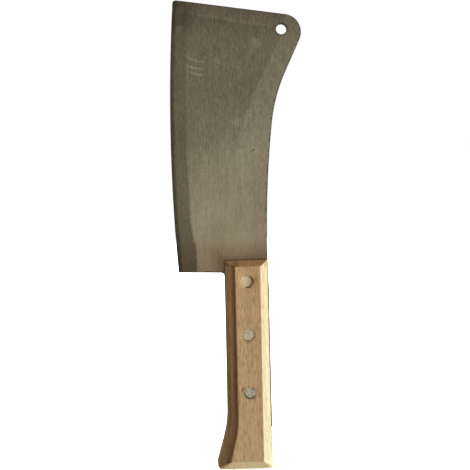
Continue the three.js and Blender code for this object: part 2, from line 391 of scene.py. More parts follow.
def add_attribute(obj, name, value):
    """A number for each vertex, worked out from its x and z in millimetres."""
    layer = obj.data.attributes.new(name, "FLOAT", "POINT")
    places = [v.co / MM for v in obj.data.vertices]
    layer.data.foreach_set("value", [value(p.x, p.z) for p in places])


TOP_BAND, TOP_BAND_SPREAD = 11.3, 0.035


def below_top_band(x, z):
    """How far a point lies below the band that was left unground along the blade's top edge."""
    nose_top = Vector((NOSE[0] + 2.1, NOSE[1] + NOSE[2]))
    along = (nose_top - TIP).normalized()
    offset = Vector((x, z)) - TIP
    return along.y * offset.x - along.x * offset.y - TOP_BAND - TOP_BAND_SPREAD * x


def make_blade():
    holes = [circle(*HOLE, HOLE_STEPS)]
    holes += [circle(0, rivet_z(n), BARREL_RADIUS + CLEARANCE, BORE_STEPS) for n in RIVETS]

    def half(x, z):
        ground = smooth(HEEL_Z - 4, HEEL_Z + 30, z) * smooth(0, HONED_WIDTH, from_edge(x, z))
        return half_thickness(x, z) + waviness(x, z) * ground

    outline = spaced(blade_outline(), PLATE_SPACING)
    obj = plate_mesh("blade_ground", outline, holes, half, PLATE_ROUNDING, PLATE_SPACING)
    add_attribute(obj, "from_edge", from_edge)
    add_attribute(obj, "bevel", lambda x, z: from_edge(x, z) - bevel_width(z))
    add_attribute(obj, "grind", lambda x, z: from_edge(x, z) - grind_width(z))
    add_attribute(obj, "top_band", below_top_band)
    return obj


# ------------------------------------------------------------------ handle


def rivet_z(name):
    low, high = RIVETS[name][0]
    return (low.z + high.z) / 2


def handle_outlines():
    """The outer outline and the flat face's outline, corner for corner, each with its radius."""
    step_top, step_foot = TANG_END + STEP_REACH, TANG_END - STEP_REACH
    flare = Vector((EDGE_SIDE - FLARE_DRIFT, FLARE_Z))
    toe = Vector((TOE_X, 0))
    slope = math.atan2(flare.x - toe.x, flare.y - toe.y)
    reach = EDGE_CHAMFER_TOE / math.cos(slope) + BUTT_CHAMFER * math.tan(slope)
    flare_drop = EDGE_CHAMFER_FLARE * math.tan(slope / 2)
    front = HANDLE_LENGTH - FRONT_CHAMFER
    heel_inset = Vector((BUTT_SIDE - SPINE_CHAMFER_BUTT, BUTT_CHAMFER))
    front_inset = Vector((SPINE_SIDE - SPINE_CHAMFER_FRONT, front))

    def between(z):
        return heel_inset.lerp(front_inset, (z - BUTT_CHAMFER) / (front - BUTT_CHAMFER))

    outer = [
        (Vector((EDGE_SIDE, HANDLE_LENGTH)), FRONT_CORNER),
        (flare, FLARE_RADIUS),
        (toe, TOE_RADIUS),
        (Vector((BUTT_SIDE, 0)), BUTT_CORNER),
        (Vector((BUTT_SIDE, step_foot)), STEP_RADIUS),
        (Vector((SPINE_SIDE, step_top)), STEP_RADIUS),
        (Vector((SPINE_SIDE, HANDLE_LENGTH)), FRONT_CORNER),
    ]
    flare_inset = Vector((flare.x + EDGE_CHAMFER_FLARE, FLARE_Z - flare_drop))
    inner = [
        (Vector((EDGE_SIDE + EDGE_CHAMFER_FRONT, front)), FACE_CORNER),
        (flare_inset, FLARE_RADIUS - EDGE_CHAMFER_FLARE),
        (Vector((TOE_X + reach, BUTT_CHAMFER)), FACE_CORNER),
        (heel_inset, FACE_CORNER),
        (between(step_foot), 0),
        (between(step_top), 0),
        (front_inset, FACE_CORNER),
    ]
    return outer, inner


def matched_outlines(steps, spacing):
    """Both outlines with the same number of points, so that one face joins each pair of sides."""
    outer, inner = handle_outlines()
    pairs = []
    for i in range(len(outer)):
        j = (i + 1) % len(outer)
        rings = []
        for corners in (outer, inner):
            before, (corner, radius), after = corners[i - 1][0], corners[i], corners[j][0]
            if radius:
                rings.append(rounded(before, corner, after, radius, steps))
            else:
                rings.append([corner] * (steps + 1))
        pairs += list(zip(*rings))
    out = []
    for i, (a, b) in enumerate(pairs):
        c, d = pairs[(i + 1) % len(pairs)]
        parts = max(1, math.ceil((c - a).length / spacing))
        out += [(a.lerp(c, k / parts), b.lerp(d, k / parts)) for k in range(parts)]
    return out


def drawn_in(point, amount):
    """The point moved towards the middle of the handle by an amount along each axis."""
    across, along = -point.x, HANDLE_LENGTH / 2 - point.y
    step = Vector((min(amount, max(-amount, across)), min(amount, max(-amount, along))))
    return point + step


def handle_shell():
    """The chamfered bar with its edges rounded, before the kerf and the rivet holes are cut."""
    half, deep = HALF_DEPTH, HALF_DEPTH - CHAMFER_DEPTH
    worn, run = 0.8, BUTT_CHAMFER
    corners = [Vector((-1, -half)), Vector((0, -half)), Vector((run, -deep))]
    corners += [Vector((run, deep)), Vector((0, half)), Vector((-1, half))]
    section = [corners[0]]
    for before, corner, after in zip(corners, corners[1:], corners[2:]):
        section += rounded(before, corner, after, worn, 5)
    section.append(corners[-1])
    pairs = matched_outlines(8, 4.0)
    bm = bmesh.new()
    rings = []
    for out, depth in section:
        if out < 0:
            points = [drawn_in(b, -out) for _, b in pairs]
        else:
            points = [b + (a - b) * (out / run) for a, b in pairs]
        rings.append([bm.verts.new((p.x, depth, p.y)) for p in points])
    count = len(pairs)
    for lower, upper in zip(rings, rings[1:]):
        for i in range(count):
            j = (i + 1) % count
            bm.faces.new((lower[i], lower[j], upper[j], upper[i]))
    bm.faces.new(rings[0])
    bm.faces.new(rings[-1])
    bmesh.ops.remove_doubles(bm, verts=bm.verts, dist=1e-3)
    bmesh.ops.recalc_face_normals(bm, faces=bm.faces)
    return finished("handle_shell", bm)


def cutter(name, build, *sizes):
    """A closed body, drawn in millimetres, to cut with."""
    bm = bmesh.new()
    build(bm, *sizes)
    bmesh.ops.recalc_face_normals(bm, faces=bm.faces)
    return finished(name, bm)


def box_body(bm, low, high):
    low, high = Vector(low), Vector(high)
    for v in bmesh.ops.create_cube(bm, size=1)["verts"]:
        v.co = (low + high) / 2 + Vector(a * b for a, b in zip(v.co, high - low))


def cylinder_body(bm, z, radius, y0, y1, steps):
    rings = []
    for y in (y0, y1):
        rings.append([bm.verts.new((p.x, y, p.y)) for p in circle(0, z, radius, steps)])
    for i in range(steps):
        j = (i + 1) % steps
        bm.faces.new((rings[0][i], rings[0][j], rings[1][j], rings[1][i]))
    bm.faces.new(rings[0])
    bm.faces.new(rings[1])


def groove_body(bm, start, end, width, depth):
    """A sharp V cut into the front face, from one (x, z) point to another, that tapers out."""
    a, b = Vector(start), Vector(end)
    side = Vector((a.y - b.y, b.x - a.x)).normalized() * width / 2
    middle = a.lerp(b, 0.55)
    ring = [a, middle + side, b, middle - side]
    top = [bm.verts.new((p.x, -HALF_DEPTH - 0.4, p.y)) for p in ring]
    rim = [bm.verts.new((p.x, -HALF_DEPTH + 0.05, p.y)) for p in ring]
    keel = bm.verts.new((middle.x, -HALF_DEPTH + depth, middle.y))
    bm.faces.new(top)
    for i in range(4):
        j = (i + 1) % 4
        bm.faces.new((top[i], rim[i], rim[j], top[j]))
        bm.faces.new((rim[i], keel, rim[j]))


def cut(obj, cutters):
    for tool in cutters:
        modifier = obj.modifiers.new("cut", "BOOLEAN")
        modifier.operation, modifier.solver, modifier.object = "DIFFERENCE", "EXACT", tool
    applied(obj)
    for tool in cutters:
        bpy.data.objects.remove(tool)


def applied(obj):
    """Bakes the object's modifiers into its mesh."""
    graph = bpy.context.evaluated_depsgraph_get()
    mesh = bpy.data.meshes.new_from_object(obj.evaluated_get(graph))
    obj.modifiers.clear()
    obj.data = mesh


def rivet_sunk(name, side):
    low, high = RIVETS[name][0 if side < 0 else 1]
    return HALF_DEPTH + low.y if side < 0 else HALF_DEPTH - high.y


SEAT_GAP = {"front": 0.2, "middle": 0.06, "rear": 0.15}
# Small splits in the wood beside a rivet: ends as (x, height above the rivet), width, depth
CHIPS = {
    "rear": (
        ((-3.0, 6.2), (-7.2, 1.4), 1.3, 1.5),
        ((-7.6, 3.3), (-5.6, 0.4), 0.9, 1.1),
        ((1.6, -6.0), (5.7, -3.2), 1.5, 1.3),
    ),
    "middle": (
        ((-4.8, -2.4), (-2.4, -5.2), 0.9, 0.9),
        ((-2.0, -5.0), (0.4, -5.6), 0.9, 0.8),
        ((1.2, -5.4), (3.8, -4.6), 1.0, 0.9),
        ((3.6, -4.4), (5.3, -1.4), 0.8, 0.8),
    ),
}


def make_handle():
    """The bar with its kerf, rivet seats and chips cut out and their rims broken."""
    shell = handle_shell()
    across = 60
    low = (-across, -KERF, TANG_END - CLEARANCE)
    high = (across, KERF, HANDLE_LENGTH + 5)
    tools = [cutter("kerf_tool", box_body, low, high)]
    outside = HALF_DEPTH + 2
    for name in RIVETS:
        z = rivet_z(name)
        bore = BARREL_RADIUS + CLEARANCE
        tools.append(cutter("bore_tool", cylinder_body, z, bore, -outside, outside, BORE_STEPS))
        for side in (-1, 1):
            seat = HALF_DEPTH - rivet_sunk(name, side) - HEAD_THICKNESS - CLEARANCE
            y0, y1 = sorted((side * seat, side * outside))
            radius = HEAD_RADIUS + SEAT_GAP[name]
            tools.append(cutter("seat_tool", cylinder_body, z, radius, y0, y1, HEAD_STEPS))
    for name, chips in CHIPS.items():
        z = rivet_z(name)
        for start, end, width, depth in chips:
            start, end = (start[0], z + start[1]), (end[0], z + end[1])
            tools.append(cutter("chip_tool", groove_body, start, end, width, depth))
    cut(shell, tools)

    bm = bmesh.new()
    bm.from_mesh(shell.data)
    bmesh.ops.scale(bm, vec=(1 / MM,) * 3, verts=bm.verts)
    bpy.data.objects.remove(shell)
    bmesh.ops.remove_doubles(bm, verts=bm.verts, dist=1e-4)
    soften(bm)
    bmesh.ops.triangulate(bm, faces=[f for f in bm.faces if len(f.verts) > 4])
    return finished("handle_beech", bm, 32)


def soften(bm):
    """Breaks the sharp rims of the kerf and the rivet seats, the sunken front seats the most."""
    rims, sunken = [], []
    front_z = rivet_z("front")
    for edge in bm.edges:
        if len(edge.link_faces) != 2 or edge.calc_face_angle(0) < math.radians(50):
            continue
        a, b = (v.co for v in edge.verts)
        on_kerf = abs(abs(a.y) - KERF) < 1e-3 and abs(abs(b.y) - KERF) < 1e-3
        at_bore = any(
            math.hypot(a.x, a.z - rivet_z(n)) < BARREL_RADIUS + 2 * CLEARANCE for n in RIVETS
        )
        on_face = abs(abs(a.y) - HALF_DEPTH) < 1e-3 and abs(abs(b.y) - HALF_DEPTH) < 1e-3
        seat = any(
            abs(math.hypot(a.x, a.z - rivet_z(n)) - HEAD_RADIUS - gap) < 0.02
            for n, gap in SEAT_GAP.items()
        )
        if on_face and seat and math.hypot(a.x, a.z - front_z) < HEAD_RADIUS + 1:
            sunken.append(edge)
        elif (on_kerf and not at_bore) or (on_face and seat):
            rims.append(edge)
    for edges, offset in ((rims, 0.12), (sunken, 0.32)):
        bmesh.ops.bevel(
            bm, geom=edges, offset=offset, offset_type="OFFSET", segments=3, profile=0.5,
            affect="EDGES", clamp_overlap=True,
        )


# ------------------------------------------------------------------ rivets


def dents(x, z, seed, strength):
    """Shallow dimples left in a rivet head."""
    place = Vector((x * 0.55, z * 0.55, seed))
    return strength * (noise.noise(place) + 0.5 * noise.noise(place * 2.3))


def turned(name, profile, steps, centre_z, bend):
    """A piece turned about an axis along Y from (radius, y) points, then bent out of true."""
    bm = bmesh.new()
    rings = []
    for radius, y in profile:
        if radius == 0:
            rings.append([bm.verts.new((0, y, 0))] * steps)
            continue
        ring = []
        for i in range(steps):
            a = 2 * math.pi * i / steps
            ring.append(bm.verts.new((radius * math.cos(a), y, radius * math.sin(a))))
        rings.append(ring)
    for lower, upper in zip(rings, rings[1:]):
        for i in range(steps):
            j = (i + 1) % steps
            corners = list(dict.fromkeys((lower[i], lower[j], upper[j], upper[i])))
            if len(corners) > 2:
                bm.faces.new(corners)
    for v in bm.verts:
        v.co = bend(v.co)
    bmesh.ops.translate(bm, vec=(0, 0, centre_z), verts=bm.verts)
    bmesh.ops.recalc_face_normals(bm, faces=bm.faces)
    return finished(name, bm, 40)


def head_profile(top, under, side, crown):
    """Rings of a rivet head from the middle of its face to its underside."""
    radii = [0.5 * k for k in range(9)] + [4.3]
    flat = HEAD_RADIUS - HEAD_EDGE
    rings = []
    for r in radii:
        rise = crown * (1 - (r / flat) ** 2)
        rings.append((r, top + side * rise))
    for k in range(5):
        a = math.radians(90 * k / 4)
        drop = HEAD_EDGE * (math.cos(a) - 1)
        rings.append((flat + HEAD_EDGE * math.sin(a), top + side * drop))
    rings.append((HEAD_RADIUS, under))
    return rings


BENT_DEPTH = 0.9  # only this much of a head, from its face inwards, is worn
TUBE_PUSH, PIN_PUSH = 0.04, -0.10


def make_rivet(name, seed, strength, tilt, dish, rough):
    """The two halves of a rivet: the front head with its barrel, and the back head with its pin."""
    z = rivet_z(name)
    tube_low, tube_high = RIVETS[name][0]
    pin_low, pin_high = RIVETS[name][1]

    def bend_tube(co):
        if co.y > tube_low.y + BENT_DEPTH:
            return co
        r = math.hypot(co.x, co.z)
        fade = 1 - smooth(HEAD_RADIUS - 0.5, HEAD_RADIUS, r)
        ragged = rough * noise.noise(Vector((co.x * 0.9, co.z * 0.9, seed + 9)))
        push = TUBE_PUSH + dents(co.x, co.z, seed, strength) * fade
        slope = tilt[0] * co.x / HEAD_RADIUS + tilt[1] * co.z / HEAD_RADIUS
        scale = 1 + ragged * smooth(3.5, HEAD_RADIUS, r)
        return Vector((co.x * scale, co.y + push + slope, co.z * scale))

    def bend_pin(co):
        if co.y < pin_high.y - BENT_DEPTH:
            return co
        r = math.hypot(co.x, co.z)
        fade = 1 - smooth(HEAD_RADIUS - 0.5, HEAD_RADIUS, r)
        push = PIN_PUSH + dents(co.x, co.z, seed + 31, strength) * fade
        return Vector((co.x, co.y + push, co.z))

    under = tube_low.y + HEAD_THICKNESS
    profile = head_profile(tube_low.y, under, -1, -dish)
    profile += [
        (BARREL_RADIUS, under),
        (BARREL_RADIUS, tube_high.y),
        (BARREL_BORE, tube_high.y),
        (BARREL_BORE, under + BARREL_WALL),
        (0, under + BARREL_WALL),
    ]
    tube = turned(name + "_rivet_tube_worn", profile, HEAD_STEPS, z, bend_tube)
    under = pin_high.y - HEAD_THICKNESS
    profile = head_profile(pin_high.y, under, 1, 0.0)
    profile += [(PIN_RADIUS, under), (PIN_RADIUS, pin_low.y), (0, pin_low.y)]
    pin = turned(name + "_rivet_pin_worn", profile, HEAD_STEPS, z, bend_pin)
    return tube, pin


# ------------------------------------------------------------------ materials


def add_node(tree, kind, inputs, settings):
    """A new node with its properties set and its inputs set or linked."""
    node = tree.nodes.new(kind)
    for key, value in settings.items():
        setattr(node, key, value)
    for key, value in inputs.items():
        if isinstance(value, bpy.types.NodeSocket):
            tree.links.new(value, node.inputs[key])
        else:
            node.inputs[key].default_value = value
    return node


class Nodes:
    """A small helper that adds shader nodes and links them."""

    def __init__(self, name):
        self.material = bpy.data.materials.new(name)
        self.material.use_nodes = True
        self.tree = self.material.node_tree
        self.shader = self.tree.nodes["Principled BSDF"]
        self.place = self.add("ShaderNodeTexCoord").outputs["Object"]

    def add(self, kind, inputs=None, **settings):
        return add_node(self.tree, kind, inputs or {}, settings)

    def scaled(self, scale, offset=(0, 0, 0)):
        """Object coordinates stretched by a scale for each axis."""
        inputs = {"Vector": self.place, "Scale": scale, "Location": offset}
        return self.add("ShaderNodeMapping", inputs).outputs["Vector"]

    def noise(self, scale, detail=3.0, roughness=0.5, distortion=0.0, offset=(0, 0, 0)):
        inputs = {"Vector": self.scaled(scale, offset), "Scale": 1.0, "Detail": detail}
        inputs |= {"Roughness": roughness, "Distortion": distortion}
        return self.add("ShaderNodeTexNoise", inputs).outputs["Fac"]

    def ramp(self, value, low, high, out_low=0.0, out_high=1.0, smooth_step=True):
        inputs = {"Value": value, "From Min": low, "From Max": high}
        inputs |= {"To Min": out_low, "To Max": out_high}
        kind = "SMOOTHSTEP" if smooth_step else "LINEAR"
        node = self.add("ShaderNodeMapRange", inputs, interpolation_type=kind)
        return node.outputs["Result"]

    def math(self, operation, a, b=0.0):
        return self.add("ShaderNodeMath", {0: a, 1: b}, operation=operation).outputs[0]

    def mix(self, factor, a, b, blend="MIX"):
        a, b = (c if isinstance(c, bpy.types.NodeSocket) else (*c, 1) for c in (a, b))
        inputs = {0: factor, 6: a, 7: b}
        return self.add("ShaderNodeMix", inputs, data_type="RGBA", blend_type=blend).outputs[2]

    def part(self, axis):
        """One of the object coordinates, in metres."""
        return self.add("ShaderNodeSeparateXYZ", {0: self.place}).outputs[axis]

    def distance(self, x, z):
        """How far the surface is, seen from the side, from a point given in millimetres."""
        flat = self.add("ShaderNodeVectorMath", {0: self.place, 1: (1, 0, 1)}, operation="MULTIPLY")
        inputs = {0: flat.outputs[0], 1: (x * MM, 0, z * MM)}
        return self.add("ShaderNodeVectorMath", inputs, operation="DISTANCE").outputs["Value"]

    def times(self, a, b):
        return self.math("MULTIPLY", a, b)

    def mm(self, axis):
        """One of the object coordinates, in millimetres."""
        return self.times(self.part(axis), 1 / MM)

    def spot(self, x, z, inner, outer, strength):
        """A strength round a point that fades between two distances, all in millimetres."""
        return self.ramp(self.distance(x, z), inner * MM, outer * MM, strength, 0)

    def attribute(self, name):
        return self.add("ShaderNodeAttribute", attribute_name=name).outputs["Fac"]

    def shade(self, colour, amount, tint=(0.0, 0.0, 0.0)):
        """The colour moved by an amount towards its product with the tint, which may exceed 1."""
        return self.mix(amount, colour, tint, "MULTIPLY")

    def set(self, socket, value):
        if isinstance(value, bpy.types.NodeSocket):
            self.tree.links.new(value, self.shader.inputs[socket])
        else:
            self.shader.inputs[socket].default_value = value

    def bump(self, layers):
        """Bump from (height, strength, distance in metres) layers, one on the other."""
        normal = None
        for height, strength, distance in layers:
            inputs = {"Height": height, "Strength": strength, "Distance": distance}
            if normal is not None:
                inputs["Normal"] = normal
            normal = self.add("ShaderNodeBump", inputs).outputs["Normal"]
        self.set("Normal", normal)


# Curved scuffs on the blade: centre x and z, radius, middle x and z, half length, strength
SCUFFS = (
    (-28.9, 375.4, 31.6, -40.0, 345.8, 11.5, 0.52),
    (-31.6, 369.0, 31.1, -39.8, 339.0, 9.5, 0.62),
    (-31.5, 359.0, 26.1, -38.4, 333.8, 7.8, 0.60),
    (-15.6, 350.9, 8.5, -20.4, 344.0, 4.4, 0.42),
    (6.8, 377.1, 39.7, -3.0, 338.6, 7.5, 0.22),
)
# Paler worn spots: x, z, radius, strength
WORN_SPOTS = ((13.0, 359.4, 5.6, 0.42), (-52.0, 372.0, 5.0, 0.2))
SPECKLED_SPOT = (-5.8, 293.0, 5.5)


def front_marks(n, colour, grains):
    """The colour with the marks that are on the front face alone, and where its pits are."""
    front = n.ramp(n.part("Y"), 0.0002, -0.0002)
    broken = n.ramp(n.noise((700, 700, 700), 3, 0.6), 0.36, 0.58, 0.15, 1)
    broken = n.times(broken, front)
    for x, z, radius, middle_x, middle_z, reach, strength in SCUFFS:
        off = n.math("ABSOLUTE", n.math("SUBTRACT", n.distance(x, z), radius * MM))
        stroke = n.ramp(off, 0.1 * MM, 1.5 * MM, strength, 0)
        span = n.spot(middle_x, middle_z, 0.45 * reach, reach, 1)
        scuff = n.times(n.times(stroke, span), broken)
        colour = n.mix(scuff, colour, (0.68, 0.62, 0.50))
    for x, z, radius, strength in WORN_SPOTS:
        spot = n.spot(x, z, 0.45 * radius, radius, strength)
        colour = n.mix(n.times(spot, front), colour, (0.52, 0.50, 0.42))
    x, z, radius = SPECKLED_SPOT
    spot = n.spot(x, z, 0.4 * radius, radius, 0.6)
    spot = n.times(n.times(spot, front), n.ramp(grains, 0.50, 0.60))
    colour = n.mix(spot, colour, (0.60, 0.58, 0.49))
    pit = n.spot(8.1, 268.7, 0.45, 1.1, 0.9)
    small_pit = n.spot(5.5, 267.8, 0.25, 0.7, 0.5)
    pits = n.times(n.math("MAXIMUM", pit, small_pit), front)
    return n.mix(pits, colour, (0.07, 0.045, 0.03)), pits


def steel_material():
    n = Nodes("ground_steel")
    streaks = n.noise((750, 750, 40), 4, 0.6)
    flecks = n.noise((900, 900, 260), 3, 0.62, offset=(4, 0, 6))
    grains = n.noise((1300, 1300, 1300), 2, 0.5, offset=(1, 7, 3))
    patches = n.noise((34, 34, 20), 4, 0.6, 0.8)
    stains = n.noise((75, 75, 60), 4, 0.62, 0.5, offset=(8, 3, 1))
    tint = n.noise((22, 22, 16), 3, 0.5, offset=(2, 9, 4))
    ragged = n.ramp(stains, 0.2, 0.8, -1.6, 1.6, smooth_step=False)
    height = n.mm("Z")
    across = n.mm("X")

    colour = n.mix(n.ramp(tint, 0.35, 0.65), (0.312, 0.294, 0.236), (0.338, 0.314, 0.262))
    colour = n.mix(n.ramp(patches, 0.30, 0.62, 0.42, 0), colour, (0.226, 0.206, 0.153))

    # the plate between the grind line and the spine kept its lighter rolled surface
    grind = n.math("ADD", n.attribute("grind"), n.times(ragged, 0.5))
    rolled = n.times(n.ramp(grind, -1.1, 1.1), n.ramp(height, 235, 290, 0.05, 0.42))
    colour = n.mix(rolled, colour, (0.46, 0.445, 0.375))

    # the bevel is duller, most of all towards the heel
    dull = n.ramp(height, 310, 172, 0.07, 0.66, smooth_step=False)
    bevel = n.math("ADD", n.attribute("bevel"), n.times(ragged, 0.8))
    on_bevel = n.times(n.ramp(bevel, -1.3, 1.3, 1, 0), dull)
    colour = n.shade(colour, on_bevel, (0.06, 0.03, 0.0))
    edge = n.math("ADD", n.attribute("from_edge"), n.times(ragged, 0.3))
    colour = n.shade(colour, n.ramp(edge, 0.8, 4.8, 0.55, 0), (0.2, 0.16, 0.12))

    # painted light and shade standing in for the blade's broad reflections: painted shade at the
    # top, across the middle and low down the spine side; lower down painted lighter and warmer,
    # with a paler patch of painted light
    colour = n.shade(colour, n.ramp(height, 355, 394, 0, 0.22), (0.1, 0.08, 0.06))
    middle = n.math("ABSOLUTE", n.math("SUBTRACT", height, 300))
    colour = n.shade(colour, n.ramp(middle, 12, 42, 0.08, 0))
    colour = n.shade(colour, n.ramp(height, 285, 215, 0, 0.6), (1.15, 1.02, 1.0))
    # a paler patch of painted light
    pale = n.spot(-18, 254, 12, 38, 0.5)
    colour = n.shade(colour, pale, (1.17, 1.17, 1.2))
    # painted shade low down on the spine side
    low = n.ramp(height, 262, 186, 0, 0.24)
    colour = n.shade(colour, n.times(n.ramp(across, -22, 16), low), (0.1, 0.08, 0.06))

    # the band along the top edge, and the paler line where the grinding stopped
    below = n.math("ADD", n.attribute("top_band"), n.times(ragged, 0.7))
    fade = n.times(n.ramp(across, -48, -32), n.ramp(across, 34, 22))
    band = n.times(n.ramp(below, -1.6, 1.2, 0.65, 0), fade)
    colour = n.mix(band, colour, (0.325, 0.278, 0.240))
    line = n.times(n.ramp(n.math("ABSOLUTE", below), 0, 2.0, 0.32, 0), fade)
    colour = n.mix(line, colour, (0.50, 0.475, 0.40))
    corner = n.spot(-50, 386, 6, 22, 0.38)
    mottled = n.times(corner, n.ramp(stains, 0.62, 0.40))
    colour = n.shade(colour, mottled, (0.35, 0.33, 0.28))

    # brown residue together with the handle's painted shadow round its front end and along the
    # heel, painted shade in the joint right beside it, and darker towards the bottom of the blade
    beside = n.math("SUBTRACT", n.math("ABSOLUTE", across), -EDGE_SIDE)
    above = n.math("SUBTRACT", height, HANDLE_LENGTH)
    from_handle = n.math("ADD", n.math("MAXIMUM", beside, above), n.times(ragged, 1.6))
    residue_and_shadow = n.ramp(from_handle, -2, 17, 0.6, 0)
    colour = n.shade(colour, residue_and_shadow, (0.56, 0.49, 0.37))
    # painted shade in the joint right beside the handle
    joint_shade = n.math("MAXIMUM", beside, above)
    colour = n.shade(colour, n.ramp(joint_shade, 0.3, 2.6, 0.5, 0), (0.55, 0.47, 0.34))
    residue_and_shadow = n.ramp(from_handle, -1, 8, 0.36, 0)
    colour = n.shade(colour, residue_and_shadow, (0.45, 0.34, 0.25))
    # darker towards the bottom of the blade
    colour = n.shade(colour, n.ramp(height, 198, 182), (0.87, 0.785, 0.77))
    colour = n.shade(colour, n.ramp(height, 178, 168), (0.93, 0.92, 0.90))

    colour = n.mix(n.ramp(streaks, 0.35, 0.62, 0.26, 0), colour, (0.18, 0.165, 0.125))
    colour = n.shade(colour, n.ramp(flecks, 0.50, 0.70, 0, 0.6), (1.5, 1.47, 1.42))
    colour = n.shade(colour, n.ramp(flecks, 0.30, 0.47, 0.60, 0), (0.58, 0.56, 0.50))
    colour = n.shade(colour, n.ramp(grains, 0.32, 0.46, 0.22, 0), (0.3, 0.28, 0.25))

    colour, pits = front_marks(n, colour, grains)
    # the rounded rims of the outline, the hole and the bores are painted dark as shade, and made
    # dull and rough so that they catch no highlight; less dark on the tang, lightest low down
    rim = n.attribute("rim")
    worn = n.mix(n.ramp(height, 45, 120), (0.13, 0.125, 0.105), (0.24, 0.23, 0.19))
    rim_shade_colour = n.mix(n.ramp(height, 215, 120), (0.060, 0.056, 0.045), worn)
    colour = n.mix(n.ramp(rim, 0, 0.9, 0, 0.95), colour, rim_shade_colour)

    n.set("Base Color", colour)
    n.set("Metallic", n.ramp(rim, 0, 1, 1, 0.2))
    rough = n.ramp(flecks, 0.3, 0.7, 0.34, 0.44)
    n.set("Roughness", n.math("ADD", rough, n.ramp(rim, 0, 1, 0, 0.3)))
    n.set("Anisotropic", 0.5)
    tangent = n.add("ShaderNodeTangent", direction_type="UV_MAP", uv_map="side")
    n.set("Tangent", tangent.outputs["Tangent"])
    dips = n.math("SUBTRACT", 1, pits)
    n.bump([(flecks, 0.2, 0.00008), (stains, 0.15, 0.0002), (dips, 0.5, 0.0003)])
    return n.material


# Where the wood is torn beside the rivets: x, z, radius, strength
TORN_FIBRES = (
    (-3.5, 108.9, 2.3, 0.85),
    (-0.5, 107.9, 2.3, 0.9),
    (2.9, 108.6, 2.6, 0.9),
    (5.0, 111.2, 1.7, 0.8),
    (-5.7, 111.2, 1.6, 0.7),
    (4.2, 60.2, 2.6, 0.85),
    (-5.8, 68.3, 1.8, 0.9),
)


def on_front_face(n):
    """One on the handle's front face, fading to nothing just below it."""
    return n.ramp(n.part("Y"), -0.0125, -0.0131)


def torn(n, colour):
    """The colour with dark and pale crumbs of fibre where the wood is torn beside the rivets."""
    crumbs = n.noise((1200, 1200, 1200), 2, 0.5, offset=(3, 5, 1))
    front = on_front_face(n)
    for x, z, radius, strength in TORN_FIBRES:
        spot = n.spot(x, z, 0.4 * radius, radius, strength)
        spot = n.times(spot, front)
        dark = n.times(spot, n.ramp(crumbs, 0.50, 0.58))
        pale = n.times(spot, n.ramp(crumbs, 0.48, 0.40))
        colour = n.mix(dark, colour, (0.17, 0.09, 0.04))
        colour = n.mix(pale, colour, (0.93, 0.74, 0.52))
    return colour


